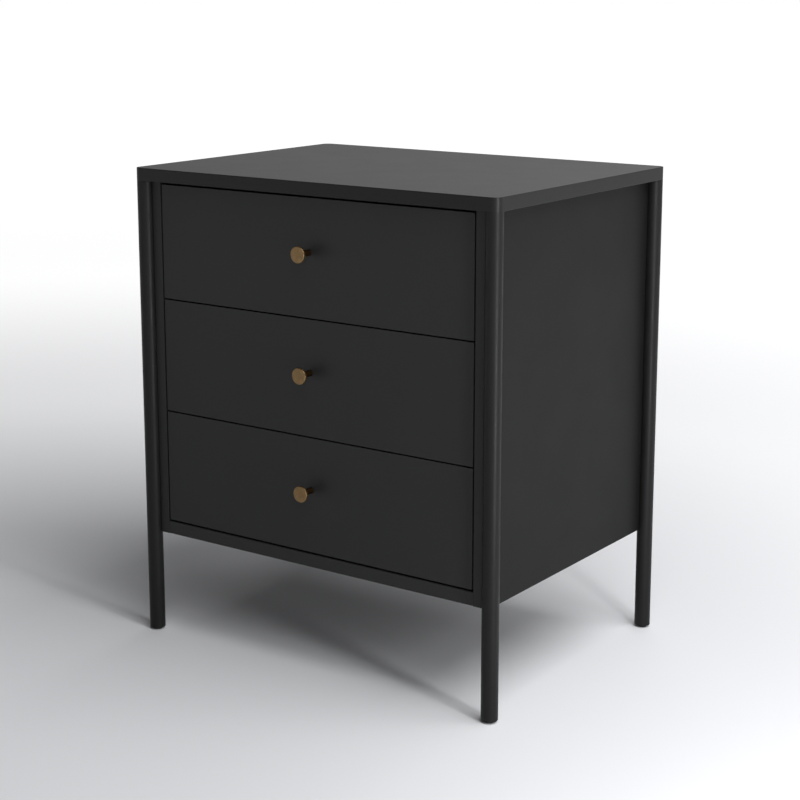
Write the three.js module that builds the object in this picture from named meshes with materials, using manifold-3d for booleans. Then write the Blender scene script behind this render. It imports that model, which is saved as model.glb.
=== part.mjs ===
// Nightstand with three drawers on four round tube legs.
// Millimetres, +Z up. The drawers open towards -Y, and +X is to the right of someone who faces them.
// The origin is on the floor, under the centre of the whole outline, knobs included.
import * as THREE from "three";
import { mergeVertices } from "three/addons/utils/BufferGeometryUtils.js";
import Module from "manifold-3d";

const wasm = await Module();
wasm.setup();

// Outline
const TOP_WIDTH = 674;
const TOP_DEPTH = 496;
const OVERALL_HEIGHT = 762;
const TOP_THICKNESS = 20.4;
const UNDERSIDE_HEIGHT = 168; // floor to the bottom of the case

// Legs and glides
const LEG_DIAMETER = 25.4;
const LEG_WALL = 1.5;
const GLIDE_DIAMETER = 20;
const GLIDE_HEIGHT = 3.2; // what stands out below the tube
const GLIDE_PLUG_LENGTH = 16;

// Case: how far each face stands back from the edge of the top, and what it is made of
const FRONT_SETBACK = 14.2;
const SIDE_SETBACK = 17.9;
const BACK_SETBACK = 14.2;
const SHEET = 1.5; // iron skin of the top and the sides
const SIDE_BOARD = 23.5;
const STILE_DEPTH = 20;
const BOTTOM_RAIL_HEIGHT = 21.4;
const BOTTOM_BOARD = 18;
const BACK_BOARD = 8;

// Drawer fronts and the gaps round them
const FRONT_THICKNESS = 18;
const GAP_ABOVE = 4.6;
const GAP_BETWEEN = 2;
const GAP_BELOW = 2.8;
const GAP_BESIDE = 2.6;

// Drawer boxes
const BOX_WALL = 12;
const BOX_ABOVE_FRONT_FOOT = 20; // underside of the box above the lower edge of its front
const BOX_BELOW_FRONT_HEAD = 30; // upper edge of the box below the upper edge of its front
const BOX_PANEL = 6; // bottom panel
const BOX_PANEL_HEIGHT = 10; // underside of the bottom panel above the underside of the box
const GROOVE_DEPTH = 6;
const SPACE_BEHIND_BOX = 41;

// Telescopic slides: three nested channels on each side of a box
const SLIDE_THICKNESS = 12.7;
const SLIDE_HEIGHT = 45;
const SLIDE_SHEET = 1.2;
const CASE_MEMBER_FLANGE = 9.5;
const MIDDLE_MEMBER_START = 2;
const MIDDLE_MEMBER_FLANGE = 9;
const MIDDLE_MEMBER_WEB = 3.5; // from the start of its flanges to its web
const DRAWER_MEMBER_FLANGE = 5.2;

// Knobs and their screws
const KNOB_DIAMETER = 25.4;
const KNOB_LENGTH = 27.3;
const KNOB_HEAD = 4;
const KNOB_EDGE = 0.7; // chamfer on both edges of the head
const KNOB_STEM_DIAMETER = 10;
const KNOB_ABOVE_MIDDLE = 8.5;
const SCREW_DIAMETER = 4;
const SCREW_BITE = 10; // how far the screw reaches into the knob
const SCREW_HEAD_DIAMETER = 9;
const SCREW_HEAD_HEIGHT = 2.4;

// Fit and smoothness
const JOINT = 0.3; // between pieces that touch or slide
const ROUND_STEPS = 48;
const CORNER_STEPS = 12;
const SMALL_ROUND_STEPS = 32;
const OVERSHOOT = 5; // how far a cutter runs past what it cuts

// Worked out from the values above, with y = 0 at the front edge of the top
const DRAWER_NAMES = ["lower", "middle", "upper"];
const SIDES = [["left", -1], ["right", 1]];
const legRadius = LEG_DIAMETER / 2;
const legX = TOP_WIDTH / 2 - legRadius;
const legYs = [["front", legRadius], ["back", TOP_DEPTH - legRadius]];
const topUnderside = OVERALL_HEIGHT - TOP_THICKNESS;
const caseHead = topUnderside - JOINT;
const skinOuterX = TOP_WIDTH / 2 - SIDE_SETBACK;
const boardOuterX = skinOuterX - SHEET - JOINT;
const openingX = boardOuterX - SIDE_BOARD;
const innerX = openingX - JOINT;
const stileBack = FRONT_SETBACK + STILE_DEPTH;
const backOuterY = TOP_DEPTH - BACK_SETBACK;
const backInnerY = backOuterY - BACK_BOARD;
const openingFoot = UNDERSIDE_HEIGHT + BOTTOM_RAIL_HEIGHT;
const gapsInHeight = GAP_BELOW + GAP_BETWEEN * (DRAWER_NAMES.length - 1) + GAP_ABOVE;
const frontHeight = (topUnderside - openingFoot - gapsInHeight) / DRAWER_NAMES.length;
const frontX = openingX - GAP_BESIDE;
const frontBack = FRONT_SETBACK + FRONT_THICKNESS;
const boxStart = frontBack + JOINT;
const boxEnd = backInnerY - SPACE_BEHIND_BOX;
const boxOuterX = innerX - SLIDE_THICKNESS - JOINT;
const boxInnerX = boxOuterX - BOX_WALL;
const boxHeight = frontHeight - BOX_ABOVE_FRONT_FOOT - BOX_BELOW_FRONT_HEAD;
const knobProud = KNOB_LENGTH + JOINT - FRONT_SETBACK; // what a knob stands out past the top
const middleOfOutline = (TOP_DEPTH - knobProud) / 2;

const FINISHES = {
  iron: { color: 0x2b2b2b, roughness: 0.55, metalness: 0.3 },
  blackBoard: { color: 0x2a2a2a, roughness: 0.6, metalness: 0 },
  birch: { color: 0xc9ab7c, roughness: 0.65, metalness: 0 },
  zinc: { color: 0xb4b8ba, roughness: 0.35, metalness: 1 },
  brass: { color: 0x7a6240, roughness: 0.4, metalness: 1 },
  nylon: { color: 0x161616, roughness: 0.7, metalness: 0 },
};

/** Turns a closed geometry into a manifold solid. */
function solidOf(geometry) {
  const bare = geometry.clone();
  bare.deleteAttribute("normal");
  bare.deleteAttribute("uv");
  const merged = mergeVertices(bare);
  return new wasm.Manifold(new wasm.Mesh({
    numProp: 3,
    vertProperties: new Float32Array(merged.attributes.position.array),
    triVerts: new Uint32Array(merged.index.array),
  }));
}

/** Turns a manifold solid back into a geometry with flat faces. */
function geometryOf(solid) {
  const mesh = solid.getMesh();
  const geometry = new THREE.BufferGeometry();
  geometry.setAttribute("position", new THREE.BufferAttribute(mesh.vertProperties, 3));
  geometry.setIndex(new THREE.BufferAttribute(mesh.triVerts, 1));
  return geometry;
}

/** Cuts every cutter out of a geometry. */
function cut(geometry, cutters) {
  return geometryOf(cutters.reduce((solid, cutter) => solid.subtract(solidOf(cutter)), solidOf(geometry)));
}

/** Joins geometries that overlap into one. */
function join(geometries) {
  return geometryOf(geometries.map(solidOf).reduce((whole, solid) => whole.add(solid)));
}

/** A block between its lowest and its highest corner. */
function block(low, high) {
  const size = high.map((value, axis) => value - low[axis]);
  const middle = high.map((value, axis) => (value + low[axis]) / 2);
  return new THREE.BoxGeometry(...size).translate(...middle);
}

/** A plate with rounded upright corners, as big as the top less an inset all round. */
function topPlate(inset, low, high) {
  const radius = legRadius - inset;
  const [left, right] = [-TOP_WIDTH / 2 + legRadius, TOP_WIDTH / 2 - legRadius];
  const [near, far] = legYs.map(([, y]) => y);
  const outline = new THREE.Shape();
  outline.absarc(right, near, radius, -Math.PI / 2, 0);
  outline.absarc(right, far, radius, 0, Math.PI / 2);
  outline.absarc(left, far, radius, Math.PI / 2, Math.PI);
  outline.absarc(left, near, radius, Math.PI, Math.PI * 1.5);
  const extrusion = { depth: high - low, bevelEnabled: false, curveSegments: CORNER_STEPS };
  return new THREE.ExtrudeGeometry(outline, extrusion).translate(0, 0, low);
}

/** An upright cylinder. */
function post(x, y, radius, low, high) {
  const cylinder = new THREE.CylinderGeometry(radius, radius, high - low, ROUND_STEPS);
  return cylinder.rotateX(Math.PI / 2).translate(x, y, (low + high) / 2);
}

/** Turns a profile of [radius, distance] points about an axis along -Y, starting at y = 0. */
function turned(profile) {
  const points = profile.map(([radius, distance]) => new THREE.Vector2(radius, distance));
  return new THREE.LatheGeometry(points, SMALL_ROUND_STEPS).rotateX(Math.PI);
}

/** Cuts room for the four legs, with the joint's clearance, out of a piece of the case. */
function fittedToLegs(geometry) {
  const cutters = SIDES.flatMap(([, side]) => legYs.map(([, y]) =>
    post(side * legX, y, legRadius + JOINT, UNDERSIDE_HEIGHT - OVERSHOOT, topUnderside + OVERSHOOT)));
  return cut(geometry, cutters);
}

/** A block of the case on one side, given by its distances from the middle. */
function sideBlock(side, [innerDistance, near, low], [outerDistance, far, high]) {
  const xs = [side * innerDistance, side * outerDistance].sort((a, b) => a - b);
  return block([xs[0], near, low], [xs[1], far, high]);
}

/** Adds one named piece to a group, with a material of its own. */
function addPiece(group, name, geometry, finish) {
  const mesh = new THREE.Mesh(geometry, new THREE.MeshStandardMaterial(finish));
  mesh.name = name;
  group.add(mesh);
  return mesh;
}

/** The top: an iron pan, open below, with a board that fills it. */
function buildTop() {
  const group = new THREE.Group();
  const outside = topPlate(0, topUnderside, OVERALL_HEIGHT);
  const hollow = topPlate(SHEET, topUnderside - OVERSHOOT, OVERALL_HEIGHT - SHEET);
  addPiece(group, "top_pan", cut(outside, [hollow]), FINISHES.iron);
  const board = topPlate(SHEET + JOINT, topUnderside, OVERALL_HEIGHT - SHEET - JOINT);
  addPiece(group, "top_board", board, FINISHES.blackBoard);
  return group;
}

/** One leg: an open tube with a glide pushed into its foot. */
function buildLeg(name, x, y) {
  const group = new THREE.Group();
  const bore = legRadius - LEG_WALL;
  const foot = GLIDE_HEIGHT + JOINT;
  const outside = post(0, 0, legRadius, foot, caseHead);
  const inside = post(0, 0, bore, foot - OVERSHOOT, caseHead + OVERSHOOT);
  addPiece(group, `leg_${name}`, cut(outside, [inside]), FINISHES.iron);
  const pad = post(0, 0, GLIDE_DIAMETER / 2, 0, GLIDE_HEIGHT);
  const plugRadius = bore - JOINT;
  const plug = post(0, 0, plugRadius, GLIDE_HEIGHT, GLIDE_HEIGHT + GLIDE_PLUG_LENGTH);
  const neck = post(0, 0, Math.min(plugRadius, GLIDE_DIAMETER / 2) - LEG_WALL, 0, GLIDE_HEIGHT + LEG_WALL);
  addPiece(group, `glide_${name}`, join([pad, neck, plug]), FINISHES.nylon);
  group.position.set(x, y, 0);
  return group;
}

/** The case between the legs: skins, boards, front frame, back and bottom. */
function buildCase() {
  const group = new THREE.Group();
  for (const [name, side] of SIDES) {
    const skin = sideBlock(
      side, [skinOuterX - SHEET, legRadius, UNDERSIDE_HEIGHT], [skinOuterX, TOP_DEPTH - legRadius, caseHead]);
    addPiece(group, `side_skin_${name}`, fittedToLegs(skin), FINISHES.iron);
    const board = sideBlock(
      side, [openingX, stileBack + JOINT, UNDERSIDE_HEIGHT], [boardOuterX, backOuterY, caseHead]);
    addPiece(group, `side_board_${name}`, fittedToLegs(board), FINISHES.blackBoard);
    const stile = sideBlock(
      side, [openingX, FRONT_SETBACK, UNDERSIDE_HEIGHT], [boardOuterX, stileBack, caseHead]);
    addPiece(group, `stile_${name}`, fittedToLegs(stile), FINISHES.blackBoard);
  }
  const rail = block([-innerX, FRONT_SETBACK, UNDERSIDE_HEIGHT], [innerX, stileBack, openingFoot]);
  addPiece(group, "bottom_rail", rail, FINISHES.blackBoard);
  const bottom = block(
    [-innerX, stileBack + JOINT, UNDERSIDE_HEIGHT], [innerX, backInnerY - JOINT, UNDERSIDE_HEIGHT + BOTTOM_BOARD]);
  addPiece(group, "bottom_board", bottom, FINISHES.blackBoard);
  const back = block([-innerX, backInnerY, UNDERSIDE_HEIGHT], [innerX, backOuterY, caseHead]);
  addPiece(group, "back_panel", back, FINISHES.blackBoard);
  return group;
}

/** A channel of one slide: its web and two flanges, measured from the case to the drawer. */
function slideMember(webStart, flangeStart, flangeEnd, height) {
  const halfLength = (boxEnd - boxStart) / 2;
  const [low, high] = [-height / 2, height / 2];
  const web = block([webStart, -halfLength, low], [webStart + SLIDE_SHEET, halfLength, high]);
  const lower = block([flangeStart, -halfLength, low], [flangeEnd, halfLength, low + SLIDE_SHEET]);
  const upper = block([flangeStart, -halfLength, high - SLIDE_SHEET], [flangeEnd, halfLength, high]);
  return join([web, lower, upper]);
}

/** The three nested members of a slide, each with the clearance it runs in. */
function slideMembers() {
  const step = 2 * (SLIDE_SHEET + JOINT);
  const middleWeb = MIDDLE_MEMBER_START + MIDDLE_MEMBER_WEB;
  const middleEnd = MIDDLE_MEMBER_START + MIDDLE_MEMBER_FLANGE;
  const drawerWeb = SLIDE_THICKNESS - SLIDE_SHEET;
  const drawerStart = SLIDE_THICKNESS - DRAWER_MEMBER_FLANGE;
  return {
    case: slideMember(0, 0, CASE_MEMBER_FLANGE, SLIDE_HEIGHT),
    middle: slideMember(middleWeb, MIDDLE_MEMBER_START, middleEnd, SLIDE_HEIGHT - step),
    drawer: slideMember(drawerWeb, drawerStart, SLIDE_THICKNESS, SLIDE_HEIGHT - 2 * step),
  };
}

/** Both slides of one drawer, centred on the height of its box. */
function buildSlides(drawerName, boxFoot) {
  const group = new THREE.Group();
  for (const [sideName, side] of SIDES) {
    for (const [member, geometry] of Object.entries(slideMembers())) {
      const mesh = addPiece(group, `${drawerName}_slide_${member}_${sideName}`, geometry, FINISHES.zinc);
      mesh.position.set(side * innerX, (boxStart + boxEnd) / 2, boxFoot + boxHeight / 2);
      mesh.rotation.z = side > 0 ? Math.PI : 0;
    }
  }
  return group;
}

/** A knob turned from one bar: stem, disc head with broken edges, and a blind hole for its screw. */
function knobGeometry() {
  const head = KNOB_DIAMETER / 2;
  const stem = KNOB_STEM_DIAMETER / 2;
  const headBack = KNOB_LENGTH - KNOB_HEAD;
  const hole = SCREW_DIAMETER / 2 + JOINT;
  const holeEnd = SCREW_BITE + JOINT;
  return turned([
    [0, holeEnd],
    [hole, holeEnd],
    [hole, 0],
    [stem, 0],
    [stem, headBack],
    [head - KNOB_EDGE, headBack],
    [head, headBack + KNOB_EDGE],
    [head, KNOB_LENGTH - KNOB_EDGE],
    [head - KNOB_EDGE, KNOB_LENGTH],
    [0, KNOB_LENGTH],
  ]);
}

/** The screw that holds a knob from inside: a flat head and a shank, with y = 0 under the head. */
function knobScrewGeometry() {
  const shank = SCREW_DIAMETER / 2;
  const head = SCREW_HEAD_DIAMETER / 2;
  const tip = FRONT_THICKNESS + 2 * JOINT + SCREW_BITE;
  return turned([
    [0, -SCREW_HEAD_HEIGHT],
    [head, -SCREW_HEAD_HEIGHT],
    [head, 0],
    [shank, 0],
    [shank, tip],
    [0, tip],
  ]);
}

/** One drawer: front, box, knob and knob screw. */
function buildDrawer(name, foot) {
  const group = new THREE.Group();
  const boxFoot = foot + BOX_ABOVE_FRONT_FOOT;
  const boxHead = boxFoot + boxHeight;
  const panelFoot = boxFoot + BOX_PANEL_HEIGHT;
  const panelHead = panelFoot + BOX_PANEL;
  const panelX = boxInnerX + GROOVE_DEPTH - JOINT;
  const knobZ = foot + frontHeight / 2 + KNOB_ABOVE_MIDDLE;
  const groove = block(
    [-boxInnerX - GROOVE_DEPTH, frontBack - GROOVE_DEPTH, panelFoot - JOINT],
    [boxInnerX + GROOVE_DEPTH, boxEnd + OVERSHOOT, panelHead + JOINT]);

  const screwHole = new THREE.CylinderGeometry(
    SCREW_DIAMETER / 2 + JOINT, SCREW_DIAMETER / 2 + JOINT, FRONT_THICKNESS + 2 * OVERSHOOT, SMALL_ROUND_STEPS);
  screwHole.translate(0, (FRONT_SETBACK + frontBack) / 2, knobZ);
  const front = block([-frontX, FRONT_SETBACK, foot], [frontX, frontBack, foot + frontHeight]);
  addPiece(group, `${name}_drawer_front`, cut(front, [groove, screwHole]), FINISHES.blackBoard);

  for (const [sideName, side] of SIDES) {
    const wall = sideBlock(side, [boxInnerX, boxStart, boxFoot], [boxOuterX, boxEnd, boxHead]);
    addPiece(group, `${name}_drawer_side_${sideName}`, cut(wall, [groove]), FINISHES.birch);
  }
  const backX = boxInnerX - JOINT;
  const back = block([-backX, boxEnd - BOX_WALL, panelHead + JOINT], [backX, boxEnd, boxHead]);
  addPiece(group, `${name}_drawer_back`, back, FINISHES.birch);
  const panel = block([-panelX, frontBack - GROOVE_DEPTH + JOINT, panelFoot], [panelX, boxEnd, panelHead]);
  addPiece(group, `${name}_drawer_bottom`, panel, FINISHES.birch);

  const knob = addPiece(group, `${name}_knob`, knobGeometry(), FINISHES.brass);
  knob.position.set(0, FRONT_SETBACK - JOINT, knobZ);
  const screw = addPiece(group, `${name}_knob_screw`, knobScrewGeometry(), FINISHES.zinc);
  screw.position.set(0, frontBack + JOINT, knobZ);
  return group;
}

const nightstand = new THREE.Group();
nightstand.position.y = -middleOfOutline;
nightstand.add(buildTop(), buildCase());
for (const [sideName, side] of SIDES) {
  for (const [endName, y] of legYs) {
    nightstand.add(buildLeg(`${endName}_${sideName}`, side * legX, y));
  }
}
DRAWER_NAMES.forEach((name, index) => {
  const foot = openingFoot + GAP_BELOW + index * (frontHeight + GAP_BETWEEN);
  nightstand.add(buildDrawer(name, foot), buildSlides(name, foot + BOX_ABOVE_FRONT_FOOT));
});

export default nightstand;
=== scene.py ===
"""Nightstand with three drawers on tube legs: the visual model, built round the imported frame.

Every length below is in metres unless its name ends in _mm. The drawers open towards -Y.
"""
import logging
import math
from dataclasses import dataclass
from enum import Enum
from typing import Callable, Sequence

import bmesh
import bpy
from mathutils import Matrix, Vector


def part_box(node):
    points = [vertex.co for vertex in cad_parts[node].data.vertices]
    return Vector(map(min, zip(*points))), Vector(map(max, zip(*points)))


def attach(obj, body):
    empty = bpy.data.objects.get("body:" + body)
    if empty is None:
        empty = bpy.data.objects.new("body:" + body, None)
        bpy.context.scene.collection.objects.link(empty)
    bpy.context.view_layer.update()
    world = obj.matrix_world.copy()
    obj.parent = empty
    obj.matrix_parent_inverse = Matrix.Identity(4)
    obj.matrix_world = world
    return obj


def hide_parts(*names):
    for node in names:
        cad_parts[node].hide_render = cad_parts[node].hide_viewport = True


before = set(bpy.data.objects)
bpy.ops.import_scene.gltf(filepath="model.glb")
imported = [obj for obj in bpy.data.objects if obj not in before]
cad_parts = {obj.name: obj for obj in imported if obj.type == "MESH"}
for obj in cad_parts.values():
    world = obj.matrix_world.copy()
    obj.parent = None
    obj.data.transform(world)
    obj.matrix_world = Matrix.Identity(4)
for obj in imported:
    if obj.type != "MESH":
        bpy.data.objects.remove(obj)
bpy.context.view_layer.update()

LOG = logging.getLogger("nightstand")
MM = 0.001
SHARP_ANGLE = math.radians(32)
Point = tuple[float, float]


class Axis(Enum):
    """A direction of the row's frame."""

    X = 0
    Y = 1
    Z = 2


class Side(Enum):
    """The left or the right of someone who faces the drawers, with its sign along X."""

    LEFT = -1
    RIGHT = 1

    @property
    def word(self) -> str:
        """The word that the frame's node names use."""
        return self.name.lower()


class End(Enum):
    """The front or the back of the case."""

    FRONT = "front"
    BACK = "back"


class Level(Enum):
    """One of the three drawers."""

    LOWER = "lower"
    MIDDLE = "middle"
    UPPER = "upper"


# ---------------------------------------------------------------------------- materials


def srgb(code: str) -> tuple[float, float, float, float]:
    """Turns an sRGB hex colour into linear red, green, blue and alpha.

    Args:
        code: the colour, such as "#1c1c1c".

    Returns:
        The linear colour that shader sockets take.
    """
    values = [int(code[i:i + 2], 16) / 255 for i in (1, 3, 5)]
    linear = [v / 12.92 if v <= 0.04045 else ((v + 0.055) / 1.055) ** 2.4 for v in values]
    return (*linear, 1.0)


def per_mm(size_mm: float) -> float:
    """The texture scale whose features are about this many millimetres wide."""
    return 1.0 / (size_mm * MM)


def add_node(tree: bpy.types.NodeTree, kind: str, inputs: dict, **settings) -> bpy.types.Node:
    """Adds one node with its settings, values and links.

    Args:
        tree: the node tree of a material or world.
        kind: the node's type, such as "ShaderNodeTexNoise".
        inputs: a value, or the output socket to link, for each input by name or number.
        settings: attributes of the node itself.

    Returns:
        The new node.
    """
    node = tree.nodes.new(kind)
    for name, value in settings.items():
        setattr(node, name, value)
    for key, value in inputs.items():
        if isinstance(value, bpy.types.NodeSocket):
            tree.links.new(value, node.inputs[key])
        else:
            node.inputs[key].default_value = value
    return node


@dataclass(frozen=True)
class Finish:
    """A real surface finish that becomes one node material."""

    name: str

    def material(self) -> bpy.types.Material:
        """The finish's material, made the first time it is asked for."""
        known = bpy.data.materials.get(self.name)
        if known is not None:
            return known
        material = bpy.data.materials.new(self.name)
        material.use_nodes = True
        tree = material.node_tree
        self.shade(tree, tree.nodes["Principled BSDF"])
        return material

    def shade(self, tree: bpy.types.NodeTree, shader: bpy.types.Node) -> None:
        """Builds the nodes that feed the shader.

        Args:
            tree: the material's node tree.
            shader: its Principled BSDF node.
        """
        raise NotImplementedError


@dataclass(frozen=True)
class RubbedLacquer(Finish):
    """Black lacquer, sprayed and then rubbed down by hand to a satin.

    The eye gets a near-black that is even in colour, with cloudy patches where the rubbing has
    left it a little duller or brighter, and a very fine orange peel that softens reflections.
    """

    deep: str = "#0c0c0c"
    worn: str = "#141414"
    patch_mm: float = 60
    smooth: float = 0.41
    dull: float = 0.49
    stretch: tuple[float, float, float] = (1, 1, 1)
    peel_mm: float = 1.6
    peel_depth_mm: float = 0.012
    ior: float = 1.5
    specular: float = 0.35

    def shade(self, tree: bpy.types.NodeTree, shader: bpy.types.Node) -> None:
        """Builds the clouds in colour and gloss, and the orange peel."""
        place = add_node(tree, "ShaderNodeTexCoord", {}).outputs["Object"]
        along = add_node(tree, "ShaderNodeMapping", {"Vector": place, "Scale": self.stretch})
        clouds = add_node(
            tree, "ShaderNodeTexNoise",
            {"Vector": along.outputs["Vector"], "Scale": per_mm(self.patch_mm), "Detail": 5,
             "Roughness": 0.55})
        colour = add_node(
            tree, "ShaderNodeMix", {0: clouds.outputs["Fac"], 6: srgb(self.deep), 7: srgb(self.worn)},
            data_type="RGBA")
        gloss = add_node(
            tree, "ShaderNodeMapRange",
            {"Value": clouds.outputs["Fac"], "From Min": 0.3, "From Max": 0.7,
             "To Min": self.smooth, "To Max": self.dull})
        peel = add_node(
            tree, "ShaderNodeTexNoise", {"Vector": place, "Scale": per_mm(self.peel_mm), "Detail": 2})
        bump = add_node(
            tree, "ShaderNodeBump",
            {"Height": peel.outputs["Fac"], "Strength": 1.0, "Distance": self.peel_depth_mm * MM})
        tree.links.new(colour.outputs[2], shader.inputs["Base Color"])
        tree.links.new(gloss.outputs["Result"], shader.inputs["Roughness"])
        tree.links.new(bump.outputs["Normal"], shader.inputs["Normal"])
        shader.inputs["IOR"].default_value = self.ior
        shader.inputs["Specular IOR Level"].default_value = self.specular


@dataclass(frozen=True)
class Birch(Finish):
    """Solid birch, planed and oiled.

    The eye gets a pale straw colour with long soft figure along the board, thin darker pores
    drawn out the same way, and a matt face that is slightly rougher in the pores.
    """

    grain: Axis = Axis.Y
    light: str = "#d3b78a"
    dark: str = "#b98f5c"
    pore: str = "#8a6238"
    figure_mm: float = 14
    pore_mm: float = 1.1
    stretch: float = 0.06
    pore_depth_mm: float = 0.05

    def shade(self, tree: bpy.types.NodeTree, shader: bpy.types.Node) -> None:
        """Builds the figure, the pores and their relief."""
        squeeze = [1.0, 1.0, 1.0]
        squeeze[self.grain.value] = self.stretch
        place = add_node(tree, "ShaderNodeTexCoord", {}).outputs["Object"]
        along = add_node(tree, "ShaderNodeMapping", {"Vector": place, "Scale": squeeze}).outputs["Vector"]
        figure = add_node(
            tree, "ShaderNodeTexNoise",
            {"Vector": along, "Scale": per_mm(self.figure_mm), "Detail": 4, "Distortion": 0.6})
        pores = add_node(
            tree, "ShaderNodeTexNoise", {"Vector": along, "Scale": per_mm(self.pore_mm), "Detail": 2})
        open_pore = add_node(
            tree, "ShaderNodeMapRange",
            {"Value": pores.outputs["Fac"], "From Min": 0.60, "From Max": 0.74, "To Min": 0, "To Max": 0.7})
        wood = add_node(
            tree, "ShaderNodeMix", {0: figure.outputs["Fac"], 6: srgb(self.light), 7: srgb(self.dark)},
            data_type="RGBA")
        colour = add_node(
            tree, "ShaderNodeMix", {0: open_pore.outputs["Result"], 6: wood.outputs[2], 7: srgb(self.pore)},
            data_type="RGBA")
        rough = add_node(
            tree, "ShaderNodeMapRange",
            {"Value": open_pore.outputs["Result"], "From Min": 0, "From Max": 0.7,
             "To Min": 0.52, "To Max": 0.75})
        bump = add_node(
            tree, "ShaderNodeBump",
            {"Height": open_pore.outputs["Result"], "Strength": 1.0, "Distance": self.pore_depth_mm * MM},
            invert=True)
        tree.links.new(colour.outputs[2], shader.inputs["Base Color"])
        tree.links.new(rough.outputs["Result"], shader.inputs["Roughness"])
        tree.links.new(bump.outputs["Normal"], shader.inputs["Normal"])


@dataclass(frozen=True)
class ZincPlate(Finish):
    """Rolled steel with a clear zinc plating.

    The eye gets a bright blue-grey metal with fine rolling lines along its length and slow
    patches where the plating is thicker.
    """

    bright: str = "#cfd3d6"
    dim: str = "#aab0b6"
    line_mm: float = 0.7
    patch_mm: float = 25
    stretch: float = 0.02

    def shade(self, tree: bpy.types.NodeTree, shader: bpy.types.Node) -> None:
        """Builds the rolling lines and the plating's patches."""
        place = add_node(tree, "ShaderNodeTexCoord", {}).outputs["Object"]
        along = add_node(
            tree, "ShaderNodeMapping", {"Vector": place, "Scale": (1, self.stretch, 1)}).outputs["Vector"]
        lines = add_node(
            tree, "ShaderNodeTexNoise", {"Vector": along, "Scale": per_mm(self.line_mm), "Detail": 2})
        patches = add_node(
            tree, "ShaderNodeTexNoise", {"Vector": place, "Scale": per_mm(self.patch_mm), "Detail": 3})
        colour = add_node(
            tree, "ShaderNodeMix", {0: patches.outputs["Fac"], 6: srgb(self.bright), 7: srgb(self.dim)},
            data_type="RGBA")
        rough = add_node(
            tree, "ShaderNodeMapRange",
            {"Value": lines.outputs["Fac"], "From Min": 0.3, "From Max": 0.7, "To Min": 0.24, "To Max": 0.42})
        bump = add_node(
            tree, "ShaderNodeBump",
            {"Height": lines.outputs["Fac"], "Strength": 0.6, "Distance": 0.02 * MM})
        tree.links.new(colour.outputs[2], shader.inputs["Base Color"])
        tree.links.new(rough.outputs["Result"], shader.inputs["Roughness"])
        tree.links.new(bump.outputs["Normal"], shader.inputs["Normal"])
        shader.inputs["Metallic"].default_value = 1.0


@dataclass(frozen=True)
class AgedBrass(Finish):
    """Brass turned on a lathe and left to age under wax.

    The eye gets a dull golden brown with darker tarnish clouds and fine turning rings round
    the axis, which break the highlight into soft arcs.
    """

    clean: str = "#927956"
    tarnish: str = "#715a3e"
    smooth: float = 0.34
    dull: float = 0.50
    cloud_mm: float = 6
    ring_mm: float = 0.9
    ring_depth_mm: float = 0.015

    def shade(self, tree: bpy.types.NodeTree, shader: bpy.types.Node) -> None:
        """Builds the tarnish and the turning rings about the piece's own Y axis."""
        place = add_node(tree, "ShaderNodeTexCoord", {}).outputs["Object"]
        clouds = add_node(
            tree, "ShaderNodeTexNoise", {"Vector": place, "Scale": per_mm(self.cloud_mm), "Detail": 5})
        rings = add_node(
            tree, "ShaderNodeTexWave",
            {"Vector": place, "Scale": math.tau / 20 * per_mm(self.ring_mm), "Distortion": 0.4},
            wave_type="RINGS", rings_direction="Y")
        colour = add_node(
            tree, "ShaderNodeMix", {0: clouds.outputs["Fac"], 6: srgb(self.clean), 7: srgb(self.tarnish)},
            data_type="RGBA")
        rough = add_node(
            tree, "ShaderNodeMapRange",
            {"Value": clouds.outputs["Fac"], "From Min": 0.3, "From Max": 0.7,
             "To Min": self.smooth, "To Max": self.dull})
        bump = add_node(
            tree, "ShaderNodeBump",
            {"Height": rings.outputs["Fac"], "Strength": 1.0, "Distance": self.ring_depth_mm * MM})
        tree.links.new(colour.outputs[2], shader.inputs["Base Color"])
        tree.links.new(rough.outputs["Result"], shader.inputs["Roughness"])
        tree.links.new(bump.outputs["Normal"], shader.inputs["Normal"])
        shader.inputs["Metallic"].default_value = 1.0


@dataclass(frozen=True)
class MouldedNylon(Finish):
    """Black nylon from a spark-eroded mould.

    The eye gets a matt black with the mould's even, fine grain.
    """

    low: str = "#070707"
    high: str = "#0c0c0c"
    grain_mm: float = 0.5

    def shade(self, tree: bpy.types.NodeTree, shader: bpy.types.Node) -> None:
        """Builds the mould's grain."""
        place = add_node(tree, "ShaderNodeTexCoord", {}).outputs["Object"]
        grain = add_node(
            tree, "ShaderNodeTexNoise", {"Vector": place, "Scale": per_mm(self.grain_mm), "Detail": 1})
        colour = add_node(
            tree, "ShaderNodeMix", {0: grain.outputs["Fac"], 6: srgb(self.low), 7: srgb(self.high)},
            data_type="RGBA")
        bump = add_node(
            tree, "ShaderNodeBump", {"Height": grain.outputs["Fac"], "Strength": 1.0, "Distance": 0.03 * MM})
        tree.links.new(colour.outputs[2], shader.inputs["Base Color"])
        tree.links.new(bump.outputs["Normal"], shader.inputs["Normal"])
        shader.inputs["Roughness"].default_value = 0.62
        shader.inputs["IOR"].default_value = 1.53


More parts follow.
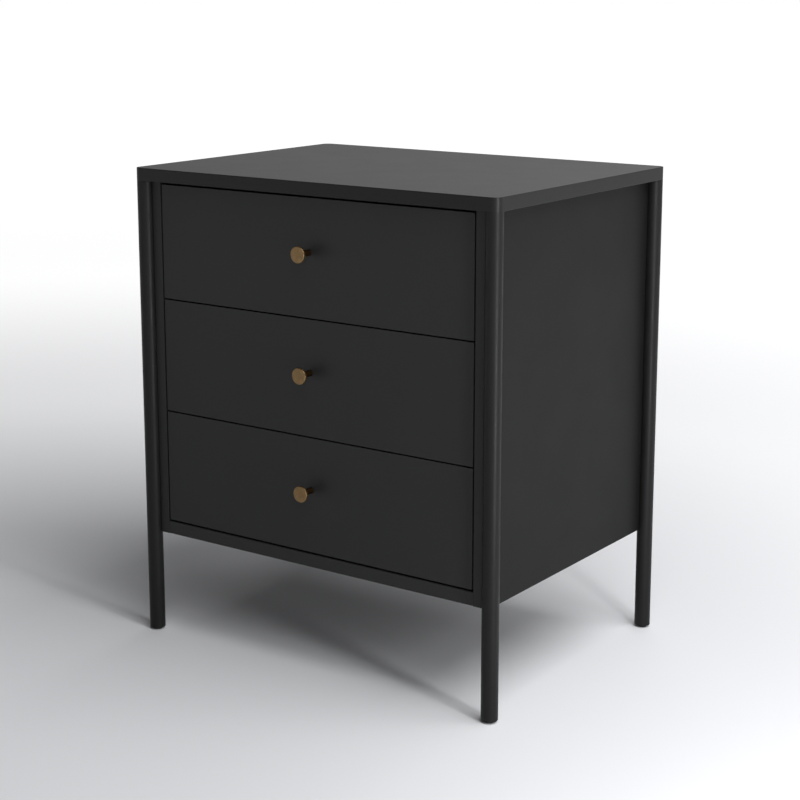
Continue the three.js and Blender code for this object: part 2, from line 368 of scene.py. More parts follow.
@dataclass(frozen=True)
class StudioFloor(Finish):
    """White studio floor, painted matt.

    The eye gets an even pale ground that takes soft shadows near the object. The floor itself
    glows, as painted light for the lit backdrop round it, and brightens with distance from a point
    in front of the object, so that the ground in front stays a little darker than the ground behind.
    """

    paint: str = "#dcdde0"
    # The painted glow grows outward from this point, which lies in front of the object.
    middle: tuple[float, float, float] = (-0.2, -0.5, 0)
    bands: tuple[tuple[float, float, float], ...] = ((0.8, 2.0, 0.31), (1.5, 4.0, 0.48), (3.0, 8.0, 0.19))

    def shade(self, tree: bpy.types.NodeTree, shader: bpy.types.Node) -> None:
        """Builds the paint, and the floor's own glow, painted light for the backdrop, as rings that each add
        some from one radius on.
        """
        place = add_node(tree, "ShaderNodeTexCoord", {}).outputs["Object"]
        distance = add_node(
            tree, "ShaderNodeVectorMath", {0: place, 1: self.middle}, operation="DISTANCE").outputs["Value"]
        total: bpy.types.NodeSocket | float = 0.0
        for start, end, light in self.bands:
            band = add_node(
                tree, "ShaderNodeMapRange",
                {"Value": distance, "From Min": start, "From Max": end, "To Min": 0, "To Max": light},
                interpolation_type="SMOOTHSTEP")
            total = add_node(
                tree, "ShaderNodeMath", {0: total, 1: band.outputs["Result"]}, operation="ADD").outputs[0]
        shader.inputs["Base Color"].default_value = srgb(self.paint)
        shader.inputs["Roughness"].default_value = 0.9
        shader.inputs["Specular IOR Level"].default_value = 0.1
        # Painted light: the floor itself glows white, as strongly as the rings add up to.
        shader.inputs["Emission Color"].default_value = (1, 1, 1, 1)
        tree.links.new(total, shader.inputs["Emission Strength"])


# These four are one rubbed black lacquer in copies whose colour and specular level differ, so that the top,
# the sides, the tubes and the boards each come out as bright as they look: painted light and shade for how
# light falls on each face.
TOP_LACQUER = RubbedLacquer(
    "rubbed_lacquer_on_top", deep="#121212", worn="#171717", smooth=0.412, dull=0.43, specular=0.25)
SIDE_LACQUER = RubbedLacquer(
    "rubbed_lacquer_on_sides", deep="#151515", worn="#1a1a1a", smooth=0.40, dull=0.47, specular=0.085)
TUBE_LACQUER = RubbedLacquer(
    "rubbed_lacquer_on_tube", deep="#161616", worn="#1d1d1d", patch_mm=40, smooth=0.33, dull=0.52,
    stretch=(2.5, 2.5, 1), peel_mm=1.2, specular=0.17)
BOARD_LACQUER = RubbedLacquer(
    "rubbed_lacquer_on_board", deep="#252525", worn="#2b2b2b", patch_mm=90, specular=0.21)
INSIDE_LACQUER = RubbedLacquer("thin_lacquer_inside", patch_mm=35, smooth=0.55, dull=0.7)
BIRCH_ALONG = {axis: Birch(f"oiled_birch_along_{axis.name.lower()}", axis) for axis in (Axis.X, Axis.Y)}
ZINC = ZincPlate("clear_zinc_on_steel")
BRASS = AgedBrass("aged_turned_brass")
# The knob stems' brass is a darker copy of the aged brass: painted shade that stands in for the disc's shadow
# on the stem.
SHADE_PAINTED_BRASS = AgedBrass("tarnished_brass_out_of_reach", clean="#5e4326", tarnish="#3d2c1b")
NYLON = MouldedNylon("moulded_black_nylon")


# ------------------------------------------------------------------------------- meshes


def block(low: Vector, high: Vector) -> bmesh.types.BMesh:
    """A block between its lowest and its highest corner."""
    mesh = bmesh.new()
    bmesh.ops.create_cube(mesh, size=1)
    stretch = Matrix.Diagonal((*(high - low), 1))
    bmesh.ops.transform(mesh, matrix=Matrix.Translation((high + low) / 2) @ stretch, verts=mesh.verts)
    return mesh


def prism(outline: Sequence[Point], axis: Axis, low: float, high: float) -> bmesh.types.BMesh:
    """Draws an outline out along an axis.

    Args:
        outline: corners in the plane of the other two axes, in their order (X before Y before Z).
        axis: the direction of the prism.
        low: where it starts along the axis.
        high: where it ends.

    Returns:
        A closed mesh.
    """
    mesh = bmesh.new()
    ends = []
    for level in (low, high):
        corners = []
        for a, b in outline:
            place = [a, b]
            place.insert(axis.value, level)
            corners.append(mesh.verts.new(place))
        ends.append(corners)
    mesh.faces.new(ends[0])
    mesh.faces.new(ends[1])
    count = len(outline)
    for i in range(count):
        j = (i + 1) % count
        mesh.faces.new((ends[0][i], ends[0][j], ends[1][j], ends[1][i]))
    bmesh.ops.recalc_face_normals(mesh, faces=mesh.faces)
    return mesh


def loft(rings: Sequence[Sequence[Vector]], closed: bool = False) -> bmesh.types.BMesh:
    """Skins a row of rings that all have the same number of points.

    Args:
        rings: the rings in order. A ring of one point closes the end to a tip.
        closed: joins the last ring to the first, in place of capping both ends.

    Returns:
        A closed mesh.
    """
    mesh = bmesh.new()
    rows = [[mesh.verts.new(point) for point in ring] for ring in rings]
    pairs = list(zip(rows, rows[1:]))
    if closed:
        pairs.append((rows[-1], rows[0]))
    for lower, upper in pairs:
        count = max(len(lower), len(upper))
        for i in range(count):
            j = (i + 1) % count
            corners = [
                lower[i % len(lower)], lower[j % len(lower)], upper[j % len(upper)], upper[i % len(upper)]]
            mesh.faces.new(list(dict.fromkeys(corners)))
    if not closed:
        for row in (rows[0], rows[-1]):
            if len(row) > 2:
                mesh.faces.new(row)
    bmesh.ops.recalc_face_normals(mesh, faces=mesh.faces)
    return mesh


def lathe(profile: Sequence[Point], axis: Axis, steps: int, closed: bool = False) -> bmesh.types.BMesh:
    """Turns a profile about an axis through the origin.

    Args:
        profile: pairs of radius and distance along the axis. A radius of 0 makes a tip.
        axis: the axis of the turned piece.
        steps: the number of flats round it.
        closed: the profile closes on itself, as a tube's does.

    Returns:
        A closed mesh.
    """
    rings = []
    for radius, distance in profile:
        ring = []
        for i in range(steps if radius > 0 else 1):
            angle = math.tau * i / steps
            place = [radius * math.cos(angle), radius * math.sin(angle)]
            place.insert(axis.value, distance)
            ring.append(Vector(place))
        rings.append(ring)
    return loft(rings, closed)


def arc(centre: Point, radius: float, start: float, end: float, steps: int) -> list[Point]:
    """Points along an arc.

    Args:
        centre: the arc's centre.
        radius: its radius.
        start: the angle of its first point, in degrees.
        end: the angle of its last point, in degrees.
        steps: the number of chords.

    Returns:
        The points, ends included.
    """
    angles = [math.radians(start + (end - start) * i / steps) for i in range(steps + 1)]
    return [(centre[0] + radius * math.cos(a), centre[1] + radius * math.sin(a)) for a in angles]


def soften(
    mesh: bmesh.types.BMesh, radius: float, segments: int = 3,
    which: Callable[[bmesh.types.BMEdge], bool] = lambda edge: True,
) -> bmesh.types.BMesh:
    """Rounds the sharp edges of a mesh.

    Args:
        mesh: the mesh, which is changed.
        radius: the size of the rounding.
        segments: the number of facets across it.
        which: says which of the sharp edges are rounded.

    Returns:
        The same mesh.
    """
    edges = [e for e in mesh.edges if e.calc_face_angle(0) > SHARP_ANGLE and which(e)]
    bmesh.ops.bevel(
        mesh, geom=edges, offset=radius, segments=segments, profile=0.5, affect="EDGES", clamp_overlap=True)
    return mesh


def runs_along(axis: Axis) -> Callable[[bmesh.types.BMEdge], bool]:
    """A test for edges that lie along an axis."""
    def test(edge: bmesh.types.BMEdge) -> bool:
        """True if the edge lies along the axis."""
        step = edge.verts[1].co - edge.verts[0].co
        return abs(step[axis.value]) > 0.99 * step.length
    return test


@dataclass
class Placing:
    """Where finished pieces go: the body they ride on. The slot is kept but not used."""

    body: str
    slot: str
    finish: Finish

    def put(
        self, name: str, mesh: bmesh.types.BMesh, replaces: Sequence[str] = (),
        at: Vector = Vector((0, 0, 0)),
    ) -> bpy.types.Object:
        """Makes a mesh into a piece of the object.

        Args:
            name: the piece's name.
            mesh: its shape, which is used up.
            replaces: the frame's nodes that it stands for.
            at: its own origin, which its points are measured from.

        Returns:
            The new piece.
        """
        data = bpy.data.meshes.new(name)
        mesh.normal_update()
        for edge in mesh.edges:
            edge.smooth = edge.calc_face_angle(0) < SHARP_ANGLE
        for face in mesh.faces:
            face.smooth = True
        mesh.to_mesh(data)
        mesh.free()
        piece = bpy.data.objects.new(name, data)
        piece.location = at
        bpy.context.scene.collection.objects.link(piece)
        piece.modifiers.new("even_shading", "WEIGHTED_NORMAL").keep_sharp = True
        data.materials.append(self.finish.material())
        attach(piece, self.body)
        if replaces:
            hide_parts(*replaces)
        LOG.info("%s rides on %s, %d faces", name, self.body, len(data.polygons))
        return piece


def dress_nodes(names: Sequence[str], finish: Finish, edge: float) -> None:
    """Gives nodes of the frame a finish and broken edges.

    Args:
        names: the nodes.
        finish: what they are finished in.
        edge: the size of the rounding on their sharp edges.
    """
    for name in names:
        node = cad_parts[name]
        node.data.materials.clear()
        node.data.materials.append(finish.material())
        bevel = node.modifiers.new("broken_edges", "BEVEL")
        bevel.width = edge
        bevel.segments = 2
        bevel.limit_method = "ANGLE"
        bevel.angle_limit = SHARP_ANGLE
        bevel.harden_normals = True
        LOG.info("%s keeps its shape, in %s", name, finish.name)


@dataclass(frozen=True)
class Screw:
    """A pan-head screw with a cross recess, by the diameter and height of its head and shank."""

    head_mm: float
    head_height_mm: float
    shank_mm: float
    shank_length_mm: float
    steps: int = 32

    def circle(self, radius: float) -> list[Point]:
        """A circle of points."""
        return arc((0, 0), radius, 0, 360 * (self.steps - 1) / self.steps, self.steps - 1)

    def cross(self) -> list[Point]:
        """The corners of the recess, whose arms reach half of the way to the rim."""
        arm, half = self.head_mm * MM * 0.25, self.head_mm * MM * 0.055
        return [
            (arm, half), (half, half), (half, arm), (-half, arm), (-half, half), (-arm, half),
            (-arm, -half), (-half, -half), (-half, -arm), (half, -arm), (half, -half), (arm, -half)]

    def mesh(self, axis: Axis, sign: int) -> bmesh.types.BMesh:
        """Builds the screw with the underside of its head at the origin.

        Args:
            axis: the axis of the screw, X or Y.
            sign: +1 if the head faces along the axis, and -1 if it faces against it.

        Returns:
            A closed mesh.
        """
        mesh = bmesh.new()
        head, height, shank = self.head_mm * MM / 2, self.head_height_mm * MM, self.shank_mm * MM / 2

        def ring(points: Sequence[Point], level: float) -> list[bmesh.types.BMVert]:
            """Adds a ring of points at a height above the underside of the head."""
            return [mesh.verts.new((a, b, level)) for a, b in points]

        def wall(first: list[bmesh.types.BMVert], second: list[bmesh.types.BMVert]) -> None:
            """Joins two rings of the same count."""
            count = len(first)
            for i in range(count):
                j = (i + 1) % count
                mesh.faces.new((first[i], first[j], second[j], second[i]))

        profile = (
            (shank, -self.shank_length_mm * MM), (shank, 0), (head * 0.96, 0), (head, height * 0.25),
            (head * 0.9, height * 0.72), (head * 0.62, height))
        rings = [ring(self.circle(radius), level) for radius, level in profile]
        mesh.faces.new(rings[0])
        for first, second in zip(rings, rings[1:]):
            wall(first, second)
        mouth = ring(self.cross(), height)
        floor = ring(self.cross(), height * 0.4)
        wall(mouth, floor)
        mesh.faces.new(floor)
        loops = [
            mesh.edges.get((row[i], row[(i + 1) % len(row)]))
            for row in (mouth, rings[-1]) for i in range(len(row))]
        bmesh.ops.triangle_fill(mesh, use_beauty=True, edges=loops)
        bmesh.ops.recalc_face_normals(mesh, faces=mesh.faces)
        turn = Matrix.Rotation(-math.pi / 2, 4, "X")
        if axis is Axis.X:
            turn = Matrix.Rotation(math.pi / 2, 4, "Y")
        if sign < 0:
            turn = Matrix.Rotation(math.pi, 4, "Z") @ turn
        bmesh.ops.transform(mesh, matrix=turn, verts=mesh.verts)
        return mesh


def gathered(parts: Sequence[tuple[bmesh.types.BMesh, Vector]]) -> bmesh.types.BMesh:
    """Gathers like solids into one mesh.

    Args:
        parts: each solid with the place of its origin.

    Returns:
        One mesh that holds them all.
    """
    whole = bmesh.new()
    for part, place in parts:
        bmesh.ops.translate(part, vec=place, verts=part.verts)
        scratch = bpy.data.meshes.new("scratch")
        part.to_mesh(scratch)
        part.free()
        whole.from_mesh(scratch)
        bpy.data.meshes.remove(scratch)
    return whole


# ---------------------------------------------------------------------------- sub-assemblies


@dataclass
class Top:
    """The top: an iron pan, folded and welded, over a board."""

    sheet_mm: float = 1.5
    edge_mm: float = 0.9
    hem_mm: float = 1.4
    board_edge_mm: float = 0.3
    corner_steps: int = 16
    edge_steps: int = 4

    def outline(self, inset: float, height: float) -> list[Vector]:
        """The pan's rounded outline, drawn in by an inset, at a height."""
        low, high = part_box("top_pan")
        tube_low, tube_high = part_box("leg_front_left")
        corner = (tube_high.x - tube_low.x) / 2
        radius = corner - inset
        points = []
        for x, y, start in (
            (high.x - corner, low.y + corner, -90), (high.x - corner, high.y - corner, 0),
            (low.x + corner, high.y - corner, 90), (low.x + corner, low.y + corner, 180),
        ):
            points += arc((x, y), radius, start, start + 90, self.corner_steps)
        return [Vector((a, b, height)) for a, b in points]

    def build(self) -> None:
        """Builds the pan, from its inside up over the lip to its face, and dresses the board."""
        low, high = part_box("top_pan")
        sheet, edge, hem = self.sheet_mm * MM, self.edge_mm * MM, self.hem_mm * MM
        path = [(sheet, high.z - sheet), (sheet, low.z)]
        path += arc((hem, low.z + hem), hem, 270, 180, self.edge_steps)
        path += arc((edge, high.z - edge), edge, 180, 90, self.edge_steps)
        mesh = loft([self.outline(inset, height) for inset, height in path])
        Placing("case", "iron", TOP_LACQUER).put("folded_top", mesh, ["top_pan"])
        dress_nodes(["top_board"], INSIDE_LACQUER, self.board_edge_mm * MM)


@dataclass
class Leg:
    """One tube leg with its glide."""

    end: End
    side: Side
    wall_mm: float = 1.5
    edge_mm: float = 0.3
    flats: int = 96
    foot_round_mm: float = 0.8
    foot_inset_mm: float = 3.0
    foot_taper_mm: float = 0.3
    weld_mm: float = 1.4

    def build(self) -> None:
        """Builds the tube, whose weld fills the top's rounded hem, and the glide below it."""
        name = f"{self.end.value}_{self.side.word}"
        low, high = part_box(f"leg_{name}")
        outer = (high.x - low.x) / 2
        inner, edge = outer - self.wall_mm * MM, self.edge_mm * MM
        middle = Vector(((low.x + high.x) / 2, (low.y + high.y) / 2, 0))
        profile = arc((outer - edge, low.z + edge), edge, -90, 0, 3)
        top = high.z + self.weld_mm * MM
        profile += [(outer, top), (inner, top), (inner, low.z)]
        tube = lathe(profile, Axis.Z, self.flats, closed=True)
        Placing("case", "iron", TUBE_LACQUER).put(f"tube_{name}", tube, [f"leg_{name}"], middle)

        glide_low, glide_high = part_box(f"glide_{name}")
        plug = (glide_high.x - glide_low.x) / 2
        pad, foot = plug - self.foot_inset_mm * MM, self.foot_round_mm * MM
        profile = [(0, glide_low.z), *arc((pad - foot, glide_low.z + foot), foot, -90, 0, 4)]
        profile += [(pad, low.z - self.foot_taper_mm * MM), (plug, low.z)]
        profile += [(plug, glide_high.z), (0, glide_high.z)]
        glide = lathe(profile, Axis.Z, self.flats // 2)
        Placing("case", "nylon", NYLON).put(f"foot_{name}", glide, [f"glide_{name}"], middle)


@dataclass
class Case:
    """The case between the legs."""

    edge_mm: float = 1.5
    seam_mm: float = 0.25
    skin_edge_mm: float = 0.3
    liner_edge_mm: float = 0.5
    screw: Screw = Screw(7.2, 1.7, 3.0, 6)
    screw_inset_mm: float = 14
    screws_high: int = 4
    screws_wide: int = 4
    joint_mm: float = 0.3

    def stile(self, side: Side) -> None:
        """Builds one front stile, hollowed along its outer corner to seat the leg."""
        low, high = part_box(f"stile_{side.word}")
        tube_low, tube_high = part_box(f"leg_front_{side.word}")
        centre = ((tube_low.x + tube_high.x) / 2, (tube_low.y + tube_high.y) / 2)
        radius = (tube_high.x - tube_low.x) / 2 + self.joint_mm * MM
        outer, inner = (high.x, low.x) if side is Side.RIGHT else (low.x, high.x)
        front_reach = math.sqrt(radius ** 2 - (low.y - centre[1]) ** 2)
        side_reach = math.sqrt(radius ** 2 - (outer - centre[0]) ** 2)
        first = math.degrees(math.atan2(low.y - centre[1], -side.value * front_reach))
        last = math.degrees(math.atan2(side_reach, outer - centre[0]))
        hollow = arc(centre, radius, first, last, 12)
        outline = [(inner, low.y), *hollow, (outer, high.y), (inner, high.y)]
        mesh = prism(outline, Axis.Z, low.z, high.z)
        middle = (inner + outer) / 2

        def seats_leg(edge: bmesh.types.BMEdge) -> bool:
            """True for the upright edges beside the leg."""
            return side.value * (edge.verts[0].co.x - middle) > 0 and runs_along(Axis.Z)(edge)

        soften(mesh, self.edge_mm * MM, which=seats_leg)
        soften(mesh, self.seam_mm * MM, which=runs_along(Axis.Z))
        Placing("case", "black_board", BOARD_LACQUER).put(
            f"front_stile_{side.word}", mesh, [f"stile_{side.word}"])

    def board(self, name: str, node: str, finish: Finish, along: Axis) -> None:
        """Builds one plain board in place of a node, with the edges along one axis softened."""
        low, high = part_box(node)
        mesh = soften(block(low, high), self.edge_mm * MM, which=runs_along(along))
        Placing("case", "black_board", finish).put(name, mesh, [node])

    def back_screws(self) -> None:
        """Builds the screws round the edge of the back panel."""
        low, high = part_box("back_panel")
        inset = self.screw_inset_mm * MM
        places = []
        for i in range(self.screws_wide):
            x = low.x + inset + (high.x - low.x - 2 * inset) * i / (self.screws_wide - 1)
            places += [(x, low.z + inset), (x, high.z - inset)]
        for i in range(1, self.screws_high - 1):
            z = low.z + inset + (high.z - low.z - 2 * inset) * i / (self.screws_high - 1)
            places += [(low.x + inset, z), (high.x - inset, z)]
        parts = [(self.screw.mesh(Axis.Y, 1), Vector((x, high.y, z))) for x, z in places]
        Placing("case", "zinc_steel", TUBE_LACQUER).put("back_panel_screws", gathered(parts))

    def build(self) -> None:
        """Builds the boards, the stiles and the back, and dresses what keeps its shape."""
        for side in Side:
            self.stile(side)
        self.board("front_bottom_rail", "bottom_rail", BOARD_LACQUER, Axis.X)
        self.board("rear_panel", "back_panel", BOARD_LACQUER, Axis.Z)
        self.board("case_floor", "bottom_board", INSIDE_LACQUER, Axis.Y)
        self.back_screws()
        dress_nodes([f"side_skin_{side.word}" for side in Side], SIDE_LACQUER, self.skin_edge_mm * MM)
        dress_nodes([f"side_board_{side.word}" for side in Side], INSIDE_LACQUER, self.liner_edge_mm * MM)


@dataclass
class Knob:
    """A turned brass knob with a disc head, and the screw that holds it."""

    level: Level
    head_mm: float = 4.0
    edge_mm: float = 0.8
    dish_mm: float = 0.15
    stem_mm: float = 10
    flare_mm: float = 1.2
    foot_edge_mm: float = 0.3
    hole_mm: float = 4.6
    hole_depth_mm: float = 10.3
    screw_head_mm: float = 9
    screw_head_height_mm: float = 2.4
    screw_shank_mm: float = 4
    flats: int = 96

    def build(self) -> None:
        """Builds the knob, whose own origin is where it meets the drawer, and its screw."""
        node = f"{self.level.value}_knob"
        body = f"{self.level.value}_drawer"
        low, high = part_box(node)
        at = Vector(((low.x + high.x) / 2, high.y, (low.z + high.z) / 2))
        radius, length = (high.x - low.x) / 2, high.y - low.y
        # The stem takes the darker brass, which is painted shade under the disc. The disc takes the plain
        # aged brass.
        self.place_turned(f"{node}_stem", body, SHADE_PAINTED_BRASS, self.stem_profile(length), [node], at)
        self.place_turned(f"{node}_disc", body, BRASS, self.disc_profile(radius, length), [], at)

        node = f"{self.level.value}_knob_screw"
        low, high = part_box(node)
        head = self.screw_head_height_mm
        at = Vector(((low.x + high.x) / 2, high.y - head * MM, (low.z + high.z) / 2))
        screw = Screw(self.screw_head_mm, head, self.screw_shank_mm, (high.y - low.y) / MM - head)
        Placing(body, "zinc_steel", ZINC).put(f"{node}_pan_head", screw.mesh(Axis.Y, 1), [node], at)

    def stem_profile(self, length: float) -> list[Point]:
        """The stem's radius and distance from the drawer, with the hole for the screw."""
        stem, flare, foot = self.stem_mm * MM / 2, self.flare_mm * MM, self.foot_edge_mm * MM
        hole, hole_end = self.hole_mm * MM / 2, self.hole_depth_mm * MM
        head_back = length - self.head_mm * MM
        out = [(0, hole_end), (hole, hole_end), (hole, 0), (stem - foot, 0), (stem, foot)]
        out += arc((stem + flare, head_back - flare), flare, 180, 90, 5)
        return [*out, (stem + flare, head_back + foot), (0, head_back + foot)]

    def disc_profile(self, radius: float, length: float) -> list[Point]:
        """The disc's radius and distance from the drawer, with its slight dish."""
        edge, dish, head_back = self.edge_mm * MM, self.dish_mm * MM, length - self.head_mm * MM
        out = [(0, head_back), *arc((radius - edge, head_back + edge), edge, -90, 0, 4)]
        out += arc((radius - edge, length - edge), edge, 0, 90, 4)
        return [*out, (radius * 0.86, length), (radius * 0.6, length - dish / 2), (0, length - dish)]

    def place_turned(
        self, name: str, body: str, finish: Finish, profile: Sequence[Point], replaces: Sequence[str],
        at: Vector,
    ) -> None:
        """Turns a profile that runs out from the drawer's face, and puts the piece in place."""
        mesh = lathe([(radius, -distance) for radius, distance in profile], Axis.Y, self.flats)
        Placing(body, "brass", finish).put(name, mesh, replaces, at)


@dataclass
class Drawer:
    """One drawer: front, box and knob."""

    level: Level
    front_edge_mm: float = 0.6
    rim_mm: float = 2.0
    edge_mm: float = 0.5
    joint_mm: float = 0.3

    def node(self, part: str) -> str:
        """The name of one of this drawer's nodes."""
        return f"{self.level.value}_drawer_{part}"

    def build_front(self) -> None:
        """Builds the front, with the groove that takes the bottom panel."""
        low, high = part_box(self.node("front"))
        panel_low, panel_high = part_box(self.node("bottom"))
        joint = self.joint_mm * MM
        depth = panel_low.y - joint
        outline = [
            (low.y, low.z), (high.y, low.z), (high.y, panel_low.z - joint), (depth, panel_low.z - joint),
            (depth, panel_high.z + joint), (high.y, panel_high.z + joint), (high.y, high.z), (low.y, high.z)]
        mesh = soften(prism(outline, Axis.X, low.x, high.x), self.front_edge_mm * MM)
        Placing(f"{self.level.value}_drawer", "black_board", BOARD_LACQUER).put(
            f"{self.level.value}_front", mesh, [self.node("front")])

    def build_sides(self) -> None:
        """Builds the two sides, grooved for the bottom panel and rounded along the rim."""
        panel_low, panel_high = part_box(self.node("bottom"))
        joint = self.joint_mm * MM
        for side in Side:
            low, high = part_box(self.node(f"side_{side.word}"))
            outer, inner = (high.x, low.x) if side is Side.RIGHT else (low.x, high.x)
            groove = (panel_high.x if side is Side.RIGHT else panel_low.x) + side.value * joint
            outline = [
                (outer, low.z), (outer, high.z), (inner, high.z), (inner, panel_high.z + joint),
                (groove, panel_high.z + joint), (groove, panel_low.z - joint), (inner, panel_low.z - joint),
                (inner, low.z)]
            mesh = prism(outline, Axis.Y, low.y, high.y)
            rim = high.z

            def on_rim(edge: bmesh.types.BMEdge) -> bool:
                """True for the two long edges of the rim."""
                return all(abs(v.co.z - rim) < 1e-6 for v in edge.verts) and runs_along(Axis.Y)(edge)

            soften(mesh, self.rim_mm * MM, 5, on_rim)
            soften(mesh, self.edge_mm * MM, 2)
            Placing(f"{self.level.value}_drawer", "birch", BIRCH_ALONG[Axis.Y]).put(
                f"{self.level.value}_box_side_{side.word}", mesh, [self.node(f"side_{side.word}")])

    def build(self) -> None:
        """Builds the whole drawer."""
        self.build_front()
        self.build_sides()
        place = Placing(f"{self.level.value}_drawer", "birch", BIRCH_ALONG[Axis.X])
        for part in ("back", "bottom"):
            low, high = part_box(self.node(part))
            mesh = soften(block(low, high), self.edge_mm * MM, 2)
            place.put(f"{self.level.value}_box_{part}", mesh, [self.node(part)])
        Knob(self.level).build()


def thickened(path: Sequence[Point], thickness: float) -> list[Point]:
    """The outline of a sheet whose middle follows a path.

    Args:
        path: the middle of the sheet, as points close enough together to be smooth.
        thickness: the sheet's thickness.

    Returns:
        The outline, down one face and back along the other.
    """
    faces: tuple[list[Point], list[Point]] = ([], [])
    for i, (a, b) in enumerate(path):
        before, after = path[max(i - 1, 0)], path[min(i + 1, len(path) - 1)]
        along = Vector((after[0] - before[0], after[1] - before[1])).normalized()
        for face, reach in zip(faces, (thickness / 2, -thickness / 2)):
            face.append((a - along.y * reach, b + along.x * reach))
    return faces[0] + faces[1][::-1]


@dataclass
class Slides:
    """The two telescopic slides of one drawer, each of three rolled steel members."""

    level: Level
    sheet_mm: float = 1.2
    bend_mm: float = 1.4
    edge_mm: float = 0.2
    middle_web_mm: float = 3.5
    screw: Screw = Screw(6.8, 1.6, 2.8, 8)
    screw_ends_mm: tuple[float, ...] = (35, 165, 330)

    def channel(self, node: str, open_to: int) -> bmesh.types.BMesh:
        """Rolls one channel to fill a node's box.

        Args:
            node: the node it stands for.
            open_to: +1 if it opens towards +X, and -1 if towards -X.

        Returns:
            The channel's mesh.
        """
        low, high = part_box(node)
        sheet, bend = self.sheet_mm * MM, self.bend_mm * MM
        web = low.x + sheet / 2 if open_to > 0 else high.x - sheet / 2
        tip = high.x if open_to > 0 else low.x
        foot, head = low.z + sheet / 2, high.z - sheet / 2
        corner_x = web + open_to * bend
        lower = arc((corner_x, foot + bend), bend, 270, 180, 5)
        upper = arc((corner_x, head - bend), bend, 180, 90, 5)
        if open_to < 0:
            lower = [(2 * corner_x - a, b) for a, b in lower]
            upper = [(2 * corner_x - a, b) for a, b in upper]
        path = [(tip, foot), *lower, *upper, (tip, head)]
        return soften(prism(thickened(path, sheet), Axis.Y, low.y, high.y), self.edge_mm * MM, 1)

    def build_side(self, side: Side) -> None:
        """Builds the slide on one side of the drawer."""
        level, word = self.level.value, side.word
        towards_drawer = -side.value
        nodes = {member: f"{level}_slide_{member}_{word}" for member in ("case", "middle", "drawer")}
        bodies = {"case": "case", "middle": f"{level}_slide_middles", "drawer": f"{level}_drawer"}
        for member, open_to in (("case", towards_drawer), ("drawer", -towards_drawer)):
            Placing(bodies[member], "zinc_steel", ZINC).put(
                f"{level}_{member}_channel_{word}", self.channel(nodes[member], open_to), [nodes[member]])
        self.build_middle(nodes["middle"], bodies["middle"], f"{level}_middle_channel_{word}", side)
        self.build_screws(side, nodes, bodies)

    def build_middle(self, node: str, body: str, name: str, side: Side) -> None:
        """Builds the middle member, whose web stands between its flanges' edges."""
        low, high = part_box(node)
        sheet, inset = self.sheet_mm * MM, self.middle_web_mm * MM
        web = low.x + inset if side is Side.LEFT else high.x - inset - sheet
        foot, head = low.z + sheet, high.z - sheet
        outline = [
            (low.x, low.z), (high.x, low.z), (high.x, foot), (web + sheet, foot), (web + sheet, head),
            (high.x, head), (high.x, high.z), (low.x, high.z), (low.x, head), (web, head), (web, foot),
            (low.x, foot)]
        mesh = soften(prism(outline, Axis.Y, low.y, high.y), self.edge_mm * MM, 2)
        Placing(body, "zinc_steel", ZINC).put(name, mesh, [node])

    def build_screws(self, side: Side, nodes: dict[str, str], bodies: dict[str, str]) -> None:
        """Builds the screws that hold the outer members to the case and to the drawer."""
        for member, faces in (("case", -side.value), ("drawer", side.value)):
            low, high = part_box(nodes[member])
            seat = (high.x - self.sheet_mm * MM) if faces < 0 else (low.x + self.sheet_mm * MM)
            parts = [
                (self.screw.mesh(Axis.X, faces), Vector((seat, low.y + distance * MM, (low.z + high.z) / 2)))
                for distance in self.screw_ends_mm]
            Placing(bodies[member], "zinc_steel", ZINC).put(
                f"{self.level.value}_{member}_slide_screws_{side.word}", gathered(parts))

    def build(self) -> None:
        """Builds both slides."""
        for side in Side:
            self.build_side(side)


# --------------------------------------------------------------------------------- studio


@dataclass(frozen=True)
class Softbox:
    """A studio lamp behind a diffuser, hung on a sphere round the object.

    The azimuth is 0 in front of the drawers and 90 on their right, in degrees.
    """

    name: str
    azimuth: float
    elevation: float
    distance: float
    width: float
    height: float
    watts: float
    aim_height: float = 0.3

    def build(self) -> None:
        """Hangs the lamp and aims it."""
        data = bpy.data.lights.new(self.name, "AREA")
        data.shape = "RECTANGLE"
        data.size = self.width
        data.size_y = self.height
        data.energy = self.watts
        lamp = bpy.data.objects.new(self.name, data)
        away = direction(self.azimuth, self.elevation)
        lamp.location = Vector((0, 0, self.aim_height)) + away * self.distance
        lamp.rotation_mode = "QUATERNION"
        lamp.rotation_quaternion = away.to_track_quat("Z", "Y")
        lamp.visible_camera = False
        bpy.context.scene.collection.objects.link(lamp)


def direction(azimuth: float, elevation: float) -> Vector:
    """The unit vector towards an azimuth and an elevation in degrees."""
    a, e = math.radians(azimuth), math.radians(elevation)
    return Vector((math.sin(a) * math.cos(e), -math.cos(a) * math.cos(e), math.sin(e)))


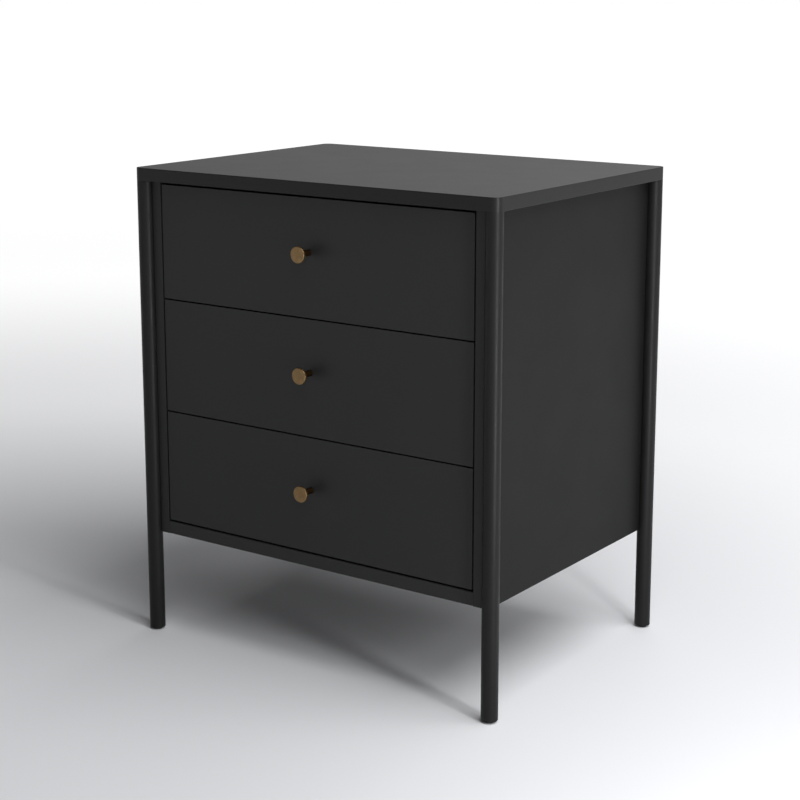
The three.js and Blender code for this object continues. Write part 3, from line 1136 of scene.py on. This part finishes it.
@dataclass
class Studio:
    """A white floor, soft lamps and the camera."""

    floor_radius: float = 60
    backdrop_towards: tuple[float, float] = (205, 12)
    backdrop_half_width: float = 45
    backdrop_level: float = 0.6
    room_level: float = 0.03
    lamps: tuple[Softbox, ...] = (
        Softbox("softbox_over_the_right", 90, 60, 3.2, 2.4, 2.4, 77),
        Softbox("softbox_front_right", 60, 45, 5.0, 4.0, 4.0, 106),
        Softbox("softbox_behind", 180, 55, 2.8, 1.6, 1.6, 13),
        Softbox("strip_lamp_right", 68, 0, 1.45, 0.12, 0.9, 8.0, 0.46),
    )
    azimuth: float = 35.34
    elevation: float = 11.55
    distance: float = 2.837
    aim: tuple[float, float, float] = (-0.0099, 0.0197, 0.4875)
    lens_mm: float = 79.3
    rise: float = -0.08

    def build_floor(self) -> None:
        """Lays a round white floor on which the legs stand."""
        mesh = bmesh.new()
        bmesh.ops.create_circle(mesh, cap_ends=True, radius=self.floor_radius, segments=128)
        data = bpy.data.meshes.new("studio_floor")
        mesh.to_mesh(data)
        mesh.free()
        floor = bpy.data.objects.new("studio_floor", data)
        bpy.context.scene.collection.objects.link(floor)
        data.materials.append(StudioFloor("white_studio_floor").material())

    def build_room(self) -> None:
        """Lights the backdrop, which is white where the camera sees it."""
        world = bpy.data.worlds.new("studio")
        bpy.context.scene.world = world
        world.use_nodes = True
        tree = world.node_tree
        tree.nodes.clear()
        towards = add_node(tree, "ShaderNodeTexCoord", {}).outputs["Generated"]
        facing = add_node(
            tree, "ShaderNodeVectorMath", {0: towards, 1: direction(*self.backdrop_towards)},
            operation="DOT_PRODUCT")
        level = add_node(
            tree, "ShaderNodeMapRange",
            {"Value": facing.outputs["Value"], "From Min": math.cos(math.radians(self.backdrop_half_width)),
             "From Max": 1, "To Min": self.room_level, "To Max": self.room_level + self.backdrop_level},
            interpolation_type="SMOOTHSTEP")
        light = add_node(
            tree, "ShaderNodeBackground", {"Color": (1, 1, 1, 1), "Strength": level.outputs["Result"]})
        seen = add_node(tree, "ShaderNodeBackground", {"Color": (1, 1, 1, 1), "Strength": 1.0})
        path = add_node(tree, "ShaderNodeLightPath", {})
        mixed = add_node(
            tree, "ShaderNodeMixShader",
            {0: path.outputs["Is Camera Ray"], 1: light.outputs[0], 2: seen.outputs[0]})
        add_node(tree, "ShaderNodeOutputWorld", {"Surface": mixed.outputs[0]})

    def build_camera(self) -> None:
        """Sets up the camera."""
        data = bpy.data.cameras.new("camera")
        data.lens = self.lens_mm
        data.shift_y = self.rise
        camera = bpy.data.objects.new("camera", data)
        bpy.context.scene.collection.objects.link(camera)
        back = direction(self.azimuth, self.elevation)
        camera.location = Vector(self.aim) + back * self.distance
        camera.rotation_mode = "QUATERNION"
        camera.rotation_quaternion = back.to_track_quat("Z", "Y")
        bpy.context.scene.camera = camera

    def build(self) -> None:
        """Builds the studio, with colours shown as they are."""
        self.build_floor()
        self.build_room()
        for lamp in self.lamps:
            lamp.build()
        self.build_camera()
        bpy.context.scene.view_settings.view_transform = "Standard"


def main() -> None:
    """Builds the studio and every sub-assembly."""
    logging.basicConfig(level=logging.INFO, format="%(name)s: %(message)s")
    Studio().build()
    Top().build()
    for end in End:
        for side in Side:
            Leg(end, side).build()
    Case().build()
    for level in Level:
        Drawer(level).build()
        Slides(level).build()


if __name__ == "__main__":
    main()
